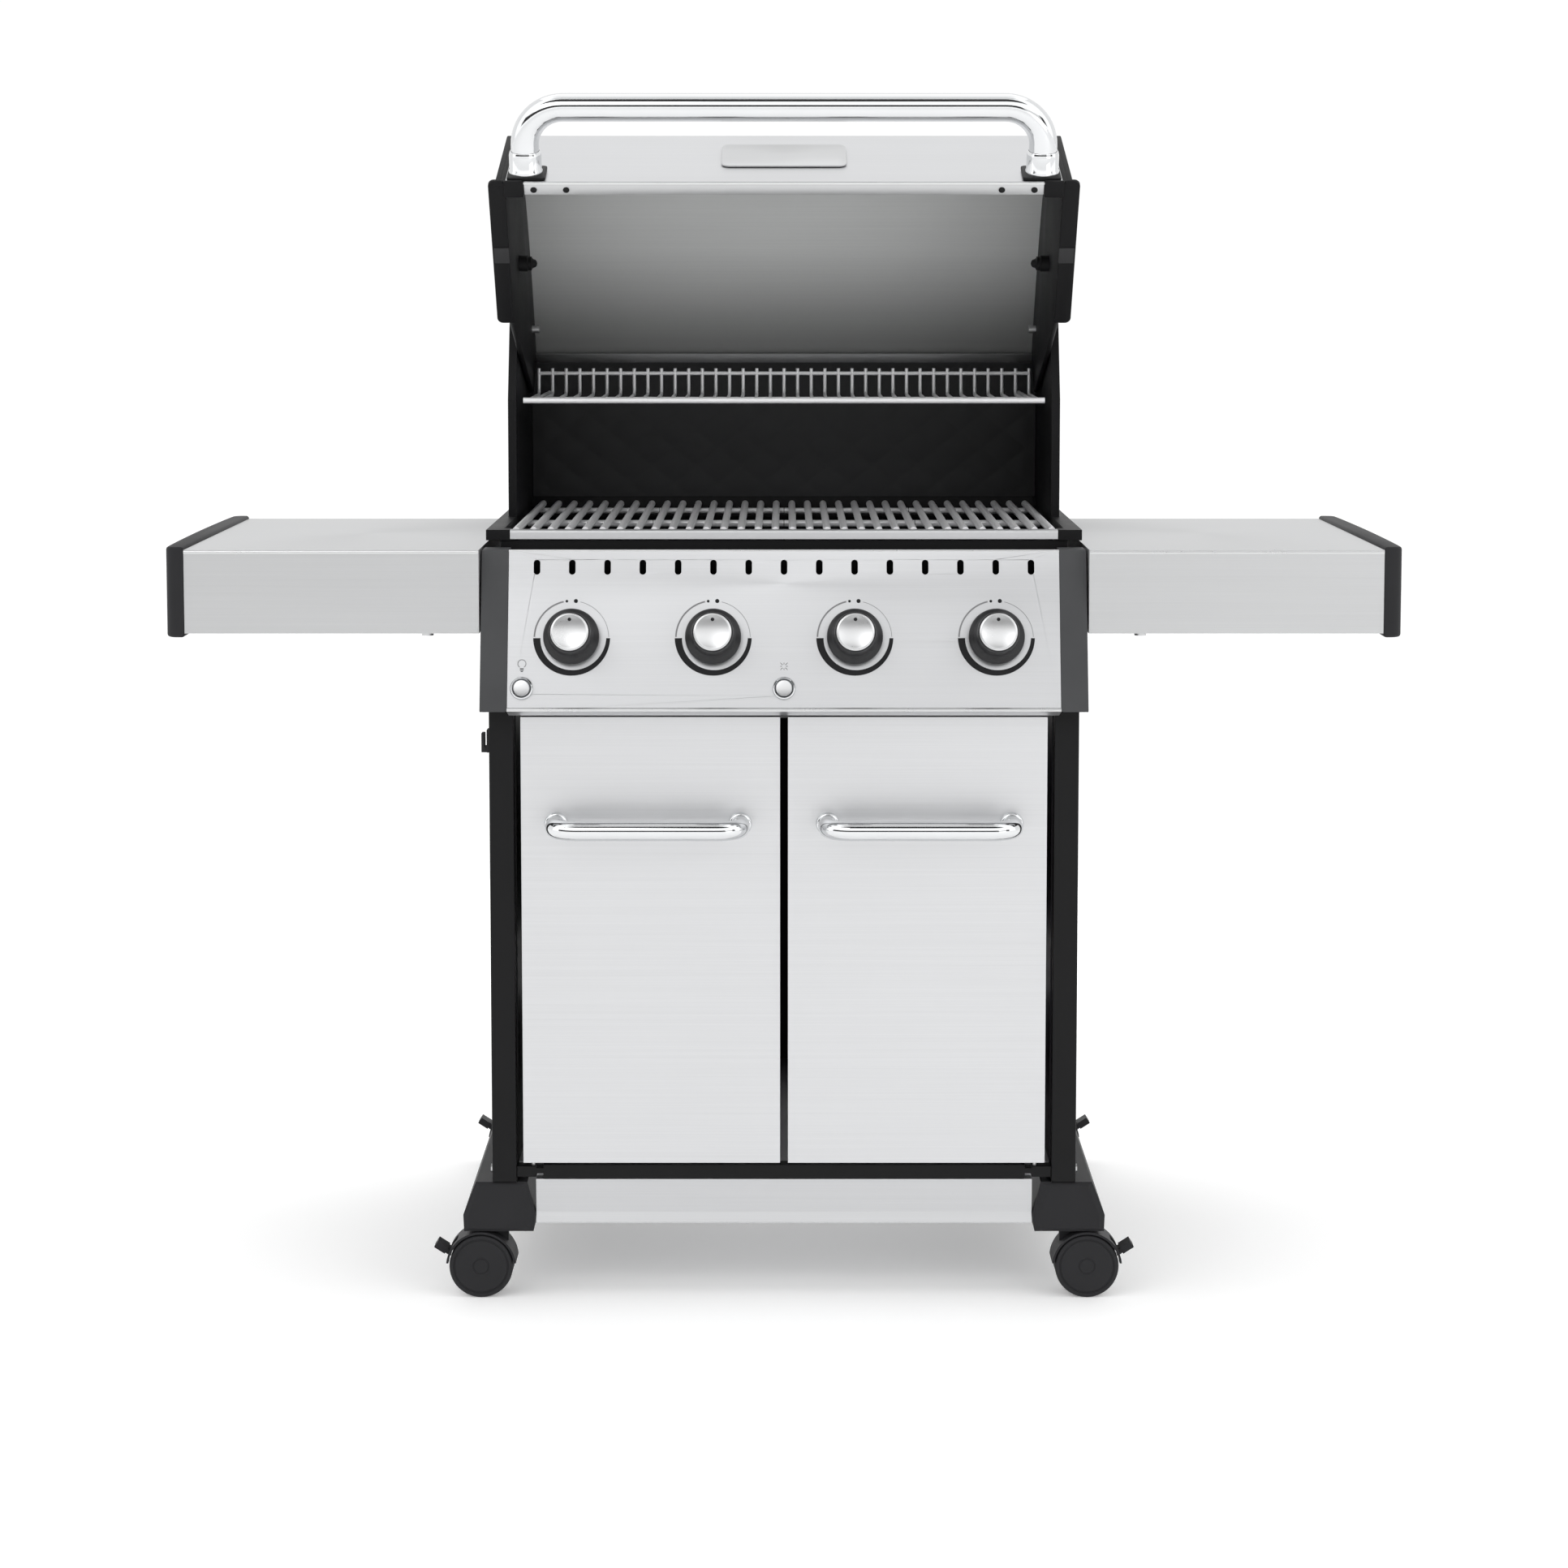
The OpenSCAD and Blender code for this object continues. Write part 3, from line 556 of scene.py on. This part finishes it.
def add_end(bm, side):
    def across(a, b):
        return (a, b) if side > 0 else (-b, -a)

    x0, x1 = across(end_in, end_out)
    web = hood_line + [(548, 1113), (foot_back, lip_z)]
    add_prism(bm, [at(x0, y, z) for y, z in web], Vector(((x1 - x0) * MM, 0, 0)))
    x0, x1 = across(end_out - 0.5, 337)
    add_prism(bm, [at(x0, y, z) for y, z in thickened(border, 6)], Vector(((x1 - x0) * MM, 0, 0)))
    x0, x1 = across(end_in, foot_out)
    foot = rounded_outline(x0, 75, x1, foot_back, 7)
    add_prism(bm, [at(x, y, 920) for x, y in foot], Vector((0, 0, 6 * MM)))
    x0, x1 = across(return_half + 0.5, end_in + 2)
    add_prism(bm, [at(x, y, 919) for x, y in rounded_outline(x0, 75, x1, 97, 2)], Vector((0, 0, 5 * MM)))


for side, word in ((-1, "left"), (1, "right")):
    bm = bmesh.new()
    add_end(bm, side)
    made = hood_piece("hood_end_" + word, bm, enamel, bevel=1.2, steps=2)
    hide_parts("lid_end_" + word)

# %% [markdown]
# ## The handle
#
# The handle is one chromed tube bent twice. It drops into turned ferrules, which stand on
# black plates screwed through the skin. A tube swept along its centre line keeps its round
# section through the bends.

# %% Bent tube, ferrules and plates
handle_x, handle_r, handle_out, handle_bend = 302.5, 16.5, 82, 45
mount_up, plate_t = 30, 4
bend_x = handle_x - handle_bend
turn_out = handle_out - handle_bend
route = [(-handle_x, plate_t), (-handle_x, 20)] + arc(-bend_x, turn_out, handle_bend, 180, 90, 14)
route += arc(bend_x, turn_out, handle_bend, 90, 0, 14) + [(handle_x, 20), (handle_x, plate_t)]
bm = bmesh.new()
add_tube(bm, [on_hood_front(x, mount_up, out) for x, out in route], handle_r, 40)
handle = hood_piece("hood_handle", bm, chrome, sharp=50)
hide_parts("lid_handle")

hood_out = (on_hood_front(0, 0, 1) - on_hood_front(0, 0, 0)).to_track_quat("Z", "X").to_matrix().to_4x4()
ferrule = [(handle_r + 0.3, 0), (20, 0), (20, 3), (19, 4.5),
           (19, 21), (18.2, 24.5), (17.4, 26), (handle_r + 0.3, 26)]
bm = bmesh.new()
plates = bmesh.new()
for side in (-1, 1):
    foot = Matrix.Translation(on_hood_front(side * handle_x, mount_up, plate_t))
    add_turned(bm, ferrule, foot @ hood_out)
    x0, x1 = sorted((side * (handle_x - 24), side * (handle_x + 21)))
    corners = rounded_outline(x0, 5, x1, 55, 5)
    thick = on_hood_front(0, 0, plate_t) - on_hood_front(0, 0, 0.0)
    add_prism(plates, [on_hood_front(x, up, 0.1) for x, up in corners], thick)
ferrules = hood_piece("handle_ferrule_pair", bm, chrome, sharp=40)
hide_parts("handle_ferrules")
hood_piece("handle_plates", plates, enamel, bevel=1.0)

# %% Blank plate standing proud of the hood
bm = bmesh.new()
thick = on_hood_front(0, 0, 2.2) - on_hood_front(0, 0, 0)
add_prism(bm, [on_hood_front(x, up, 0.1) for x, up in rounded_outline(-74, 61, 74, 145, 10)], thick)
plate = hood_piece("hood_plate", bm, shelf_steel, bevel=0.8)
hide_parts("nameplate")

# %% Domed nuts, lip screws and rubber pads
bm = bmesh.new()
pads = bmesh.new()
dome = [(0, 22), (2.6, 21.4), (4.6, 19.8), (5.6, 17), (7, 15.5),
        (8.6, 15), (8.6, 11), (10, 10), (10, 0), (0, 0)]
screw = [(0, 0), (3.8, 0), (3.8, -0.8), (2.6, -1.8), (0, -2.1)]
for side in (-1, 1):
    inward = Matrix.Rotation(-side * math.pi / 2, 4, "Y")
    add_turned(bm, dome, Matrix.Translation(at(side * end_in, 279, 1034)) @ inward, 32)
    for x in (254, 292):
        add_turned(bm, screw, Matrix.Translation(at(side * x, 87, 921)), 20)
    add_block(pads, (side * 334 - 9, 170, 918.2), (side * 334 + 9, 192, 920.4))
nuts = hood_piece("hood_nuts_and_screws", bm, paint, sharp=40)
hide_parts("lid_hardware")
hood_piece("hood_pads", pads, rubber, bevel=0.8)

# %% [markdown]
# ## The control panel
#
# The panel is a sloped sheet with a rolled lower edge. Each burner has a printed dial: a band
# that narrows from high to low round the bottom, a thin line back to off, and two small
# marks at the top. Print stands a fifth of a millimetre proud, so it is real geometry that
# keeps crisp edges at any distance. The two push buttons sit in turned chrome rings.

# %% Places on the sloped panel
panel_lean = math.radians(15)
panel_z = 711
panel_half = 323
knob_up, button_up = 88, 28
knob_xs = [-248.25, -82.75, 82.75, 248.25]
button_xs = {"lamp_button": -306, "ignition_button": 0}


def on_panel(x, up, out=0.0):
    return at(x, up * math.sin(panel_lean) - out * math.cos(panel_lean),
              panel_z + up * math.cos(panel_lean) + out * math.sin(panel_lean))


panel_out = on_panel(0, 0, 1) - on_panel(0, 0, 0)
panel_turn = panel_out.to_track_quat("Z", "X").to_matrix().to_4x4()
print("panel faces", [round(v / MM, 3) for v in panel_out])

# %% Rolled lower edge and folded upper edge
bm = bmesh.new()
add_tube(bm, [on_panel(-panel_half, 2.6, 0.2), on_panel(panel_half, 2.6, 0.2)], 2.6, 16)
add_tube(bm, [on_panel(-panel_half, 191, -1.6), on_panel(panel_half, 191, -1.6)], 1.8, 12)
piece("panel_rolled_edges", bm, satin_chrome, "cart")


# %% Printed dials
def add_print(bm, outline, proud=0.22):
    add_prism(bm, [on_panel(x, up, 0.02) for x, up in outline], panel_out * proud)


def dial_band(cx, start, end, outer, width_start, width_end, steps=40):
    rim, inner = [], []
    for i in range(steps + 1):
        a = math.radians(start + (end - start) * i / steps)
        width = width_start + (width_end - width_start) * i / steps
        rim.append((cx + outer * math.cos(a), knob_up + outer * math.sin(a)))
        inner.append((cx + (outer - width) * math.cos(a), knob_up + (outer - width) * math.sin(a)))
    return rim + inner[::-1]


ink = bmesh.new()
grey_ink = bmesh.new()
for cx in knob_xs:
    add_print(ink, dial_band(cx, 181, 359, 45, 8.5, 4.5))
    add_print(grey_ink, dial_band(cx, 179, 103, 44.5, 1.8, 1.8))
    add_print(grey_ink, dial_band(cx, 1, 77, 43.5, 0.5, 0.5))
    for angle, size in ((98, 1.6), (84, 2.4)):
        a = math.radians(angle)
        add_print(ink, arc(cx + 43.5 * math.cos(a), knob_up + 43.5 * math.sin(a), size, 0, 345, 23))

# %% Small pictures above the buttons: a lamp and a spark
lamp_x, spark_x, picture_up = -306, 0, 54
bulb = arc(lamp_x, picture_up + 3, 5.2, -60, 240, 30) + arc(lamp_x, picture_up + 3, 4.3, 240, -60, 30)
add_print(grey_ink, bulb)
for drop, half in ((-3.2, 2.2), (-4.9, 2.2), (-6.6, 1.3)):
    y0 = picture_up + drop
    bar = [(lamp_x - half, y0), (lamp_x + half, y0),
           (lamp_x + half, y0 + 0.9), (lamp_x - half, y0 + 0.9)]
    add_print(ink, bar)
for k in range(8):
    a = math.radians(45 * k)
    ray = [(2.4, -0.35), (6.2 if k % 2 else 4.6, -0.15), (6.2 if k % 2 else 4.6, 0.15), (2.4, 0.35)]
    add_print(ink, [(spark_x + r * math.cos(a) - t * math.sin(a),
                     picture_up + r * math.sin(a) + t * math.cos(a)) for r, t in ray])
black_ink = coated("black print", (0.012, 0.012, 0.013), 0.5, 900.0, 0.00001)
pale_ink = coated("grey print", (0.20, 0.20, 0.205), 0.5, 900.0, 0.00001)
piece("panel_print", ink, black_ink, "cart")
piece("panel_fine_print", grey_ink, pale_ink, "cart")

# %% Push buttons and their rings
ring = [(10.2, 0), (13.6, 0), (13.6, 1.2), (12.8, 2.8), (11.6, 3.6), (10.8, 2.2), (10.2, 0.6)]
cap = [(0, -9), (11.8, -9), (11.8, -7.2), (9.7, -7.0), (9.7, 3.6), (8.8, 4.7), (6, 5.0), (0, 5.0)]
bm = bmesh.new()
for body, x in button_xs.items():
    place = Matrix.Translation(on_panel(x, button_up)) @ panel_turn
    add_turned(bm, ring, place)
    button = bmesh.new()
    add_turned(button, cap, place)
    made = piece(body + "_cap", button, satin_chrome, body, sharp=40)
    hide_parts({"lamp_button": "light_button", "ignition_button": "igniter_button"}[body])
piece("button_rings", bm, chrome, "cart")

# %% [markdown]
# ## The knobs
#
# Each knob is a black moulding, turned in shape: a broad skirt that hides the stem hole and a
# cone up to the grip. A thin metal disc is pressed into its face, with one dark dot that
# points at the dial. Turned profiles give all three.

# %% Four knobs on their stems
stem_to_panel = 20
moulding = [(4.4, 5), (30.8, 5), (32.7, 6.5), (32.7, 10.5), (31.6, 12.6), (29, 14.6),
            (26.6, 17), (25.2, 21), (24.5, 30), (24.0, 40), (23.4, 42.6), (22.6, 43.2),
            (22.2, 42.2), (0, 42.2), (0, 31), (4.4, 31)]
disc = [(0, 42.3), (22.0, 42.3), (22.0, 43.9), (21.2, 44.7), (19.8, 44.9), (18.8, 44.5), (0, 44.2)]
dot = [(0, 44.0), (2.1, 44.0), (2.1, 44.6), (1.5, 44.9), (0, 44.95)]
panel_up = (on_panel(0, 1) - on_panel(0, 0)).normalized()
for i in range(1, 5):
    place = joint_frame("knob_%d_turn" % i) @ Matrix.Translation((0, 0, -stem_to_panel * MM))
    bm = bmesh.new()
    add_turned(bm, moulding, place, 72)
    made = piece("knob_moulding_%d" % i, bm, knob_black, "knob_%d" % i, sharp=50)
    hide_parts("knob_%d" % i)
    bm = bmesh.new()
    add_turned(bm, disc, place, 72)
    piece("knob_disc_%d" % i, bm, satin_chrome, "knob_%d" % i, sharp=40)
    bm = bmesh.new()
    add_turned(bm, dot, Matrix.Translation(panel_up * 14.5 * MM) @ place, 24)
    piece("knob_dot_%d" % i, bm, black_ink, "knob_%d" % i)
print("knobs made: 4")

# %% [markdown]
# ## The cookbox
#
# The box is iron under fired enamel, so every inner face is near black. Its back wall is
# pressed in a shallow diamond quilt, which stiffens the sheet against heat. The quilt is real
# geometry: a fine grid whose height follows two crossing waves, folded flat at its edges.

# %% Quilted back wall
box_half, wall_y, quilt_low, quilt_high = 331.5, 554.9, 925, 1112
diamond_w, diamond_h, quilt_depth = 58, 46, 1.3
columns, rows = 264, 76
bm = bmesh.new()
grid = []
for r in range(rows + 1):
    line = []
    for c in range(columns + 1):
        u, v = c / columns, r / rows
        x = -box_half + 2 * box_half * u
        z = quilt_low + (quilt_high - quilt_low) * v
        rising = math.sin(math.pi * (x / diamond_w + z / diamond_h))
        falling = math.sin(math.pi * (x / diamond_w - z / diamond_h))
        wave = abs(rising * falling)
        edge = min(1.0, 14 * min(u, 1 - u) * 3, 14 * min(v, 1 - v))
        line.append(bm.verts.new(at(x, wall_y - 0.8 - quilt_depth * math.sqrt(wave) * edge, z)))
    grid.append(line)
for low, high in zip(grid, grid[1:]):
    for c in range(columns):
        bm.faces.new((low[c], low[c + 1], high[c + 1], high[c]))
right_edge = [line[-1] for line in grid[1:]]
left_edge = [line[0] for line in grid[-2:0:-1]]
edge_loop = grid[0] + right_edge + grid[-1][-2::-1] + left_edge
backing = [bm.verts.new(Vector((v.co.x, at(0, wall_y + 0.4, 0).y, v.co.z))) for v in edge_loop]
for i, v in enumerate(edge_loop):
    j = (i + 1) % len(edge_loop)
    bm.faces.new((v, backing[i], backing[j], edge_loop[j]))
bm.faces.new(backing)
quilt_enamel = coated("quilted enamel", (0.020, 0.020, 0.021), 0.46, 700.0, 0.00005)
piece("quilted_back_wall", bm, quilt_enamel, "cart", sharp=60)
print("quilt:", columns * rows, "cells")

# %% Stainless trim with a rolled front
bm = bmesh.new()
add_prism(bm, [at(-324.4, y, z) for y, z in
               [(84, 906.5), (84, 914.5)] + arc(87, 914.5, 3, 180, 90, 5)
               + [(96.4, 917.5), (96.4, 916.2), (87.5, 916.2), (85.4, 914), (85.4, 906.5)]],
          Vector((648.8 * MM, 0, 0)))
trim = piece("rolled_trim", bm, sheet_steel, "cart", sharp=40)
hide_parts("cookbox_trim")

# %% [markdown]
# ## Doors, pulls and shelves
#
# A door is a shallow tray of sheet, so its edges are bends and not corners. A bevel on the
# frame's own door gives those bends without changing its shape. The pulls are bent rod with
# turned roses at the feet. The shelves have a rolled bead along the front, and bulged end caps.

# %% Bow pulls with turned roses
pull_z, pull_half, pull_r, pull_out, pull_bend = 574, 108.4, 11.5, 54, 26
door_face = 35
rose = [(0, 0), (14, 0), (14, 2.2), (13.4, 3.6), (12.4, 4.6), (pull_r + 0.1, 5.2), (0, 5.2)]
for side, word in ((-1, "left"), (1, "right")):
    cx = side * 160
    bow_x = pull_half - pull_bend
    route = [(-pull_half, 0), (-pull_half, 10)] + arc(-bow_x, pull_out - pull_bend, pull_bend, 180, 90, 10)
    crown = [(-bow_x + 2 * bow_x * k / 12, pull_out) for k in range(1, 12)]
    route += crown + arc(bow_x, pull_out - pull_bend, pull_bend, 90, 0, 10)
    route += [(pull_half, 10), (pull_half, 0)]
    bm = bmesh.new()
    add_tube(bm, [at(cx + x, door_face - out, pull_z) for x, out in route], pull_r, 24)
    face_out = Matrix.Rotation(math.pi / 2, 4, "X")
    for end in (-pull_half, pull_half):
        add_turned(bm, rose, Matrix.Translation(at(cx + end, door_face - 0.1, pull_z)) @ face_out, 40)
    pull = piece("door_pull_" + word, bm, chrome, word + "_door", sharp=45)
    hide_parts("door_handle_" + word)

# %% Rolled bead on each shelf and bulged caps on their ends
shelf_in, shelf_out, shelf_top = 357, 702, 898
bead = bmesh.new()
caps = bmesh.new()
for side in (-1, 1):
    x0, x1 = sorted((side * (shelf_in + 0.5), side * shelf_out))
    add_tube(bead, [at(x0, 32.4, shelf_top - 2.8), at(x1, 32.4, shelf_top - 2.8)], 2.9, 16)
    add_tube(bead, [at(x0, 32.0, 801.5), at(x1, 32.0, 801.5)], 1.8, 12)
    corner = 14
    outline = [(shelf_out, 28)] + arc(726 - corner - 2, 28 + corner, corner, 270, 345, 6)
    outline += [(726.7 - 2.2 * ((k - 6) / 6) ** 2, 275 + 210 * (k - 6) / 6) for k in range(13)]
    outline += arc(726 - corner - 2, 522 - corner, corner, 15, 90, 6) + [(shelf_out, 522)]
    add_prism(caps, [at(side * x, y, 795.2) for x, y in outline], Vector((0, 0, 106.6 * MM)))
piece("shelf_beads", bead, satin_chrome, "cart")
ends = piece("bulged_shelf_caps", caps, dark_moulding, "cart", bevel=3.5, steps=3)
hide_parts("shelf_caps")

# %% [markdown]
# ## Casters
#
# Each caster has two wheels on one axle, with a hood between and over them. A wheel's outer
# face is a dished cover inside a plain tyre. Its profile is turned about the joint's own axis,
# so the wheel runs true when it spins.

# %% Wheels turned about their joints
wheel = [(0, 5.8), (30, 5.8), (36.4, 6.6), (38, 8.6), (38, 19.0), (36.8, 21.0),
         (35.0, 21.5), (33.4, 21.4), (32.6, 20.4), (31.6, 20.4), (30.8, 21.3), (20, 21.5),
         (10.5, 21.5), (9.6, 20.7), (8.6, 20.7), (8.0, 21.4), (0, 21.5)]
for i in range(1, 5):
    bm = bmesh.new()
    place = joint_frame("wheel_%d_spin" % i)
    for flip in (0, math.pi):
        add_turned(bm, wheel, place @ Matrix.Rotation(flip, 4, "X"), 72)
    made = piece("twin_wheel_%d" % i, bm, tread, "wheel_%d" % i, sharp=35)
    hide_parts("caster_wheel_%d" % i)

# %% [markdown]
# ## Cart trim
#
# Each foot rail ends in a moulded face with a broad chamfer all round, which keeps shoes and
# doormats from catching.

# %% Chamfered faces on the foot rails
rail_end = [(306.5, 140.5), (296.6, 101), (299.4, 81.6), (381.6, 81.6), (382.3, 101), (367, 140.5)]
rail_face = [(314.5, 137), (305, 101), (307, 85), (376, 85), (376.5, 101), (362.5, 137)]
bm = bmesh.new()
for side in (-1, 1):
    back = [bm.verts.new(at(side * x, 42.6, z)) for x, z in rail_end]
    face = [bm.verts.new(at(side * x, 38.6, z)) for x, z in rail_face]
    bm.faces.new(back)
    bm.faces.new(face[::-1])
    for i in range(len(back)):
        j = (i + 1) % len(back)
        bm.faces.new((back[j], back[i], face[i], face[j]))
piece("foot_rail_faces", bm, dark_moulding, "cart", sharp=20, bevel=0.8)

# %% [markdown]
# ## Finishes on the frame's own parts
#
# Parts whose shape is already right keep it and get a finish here. A narrow bevel modifier
# softens the bent edges of sheets and tubes, because no real edge is perfectly sharp and the
# bevel is what catches the light.

# %% Name each part's finish
door_steel = brushed("brushed stainless doors", "x", tone=(0.67, 0.675, 0.685), rough=0.42)
finishes = {
    sheet_steel: ["control_panel", "heat_tents", "lower_front_panel", "bottom_shelf"],
    shelf_steel: ["shelf_left", "shelf_right"],
    door_steel: ["door_left", "door_right"],
    rod_steel: ["cooking_grids", "warming_rack"],
    zinc: ["gas_manifold", "burners", "grease_tray", "grease_cup", "pins_and_screws"],
    brass: ["valves"] + ["valve_stem_%d" % i for i in range(1, 5)],
    enamel: ["cookbox"],
    paint: ["leg_frame_left", "leg_frame_right", "door_rails", "back_panel", "side_panels"],
    grey_moulding: ["panel_caps"],
    dark_moulding: ["foot_rail_left", "foot_rail_right", "igniter", "cart_fittings"]
                   + [kind % i for kind in ("caster_hood_%d", "brake_pedal_%d") for i in range(1, 5)],
}
bevelled = {"control_panel": 0.5, "shelf_left": 1.2, "shelf_right": 1.2, "door_left": 1.6,
            "door_right": 1.6, "lower_front_panel": 0.6, "cookbox": 0.8, "leg_frame_left": 2.0,
            "leg_frame_right": 2.0, "door_rails": 1.0, "panel_caps": 2.2, "foot_rail_left": 2.5,
            "foot_rail_right": 2.5, "cart_fittings": 0.8}
bevelled.update(("brake_pedal_%d" % i, 1.4) for i in range(1, 5))
for material, names in finishes.items():
    for name in names:
        part = frame["nodes"][name]
        if not part.material_slots:
            part.data.materials.append(material)
        for place in part.material_slots:
            place.material = material
        if name in bevelled:
            weld = part.modifiers.new("weld", "WELD")
            weld.merge_threshold = 0.00001
            soft = part.modifiers.new("soft edge", "BEVEL")
            soft.width = bevelled[name] * MM
            soft.segments = 2
            soft.angle_limit = math.radians(40)
            soft.harden_normals = True
print("finished", sum(len(names) for names in finishes.values()), "of the frame's parts")
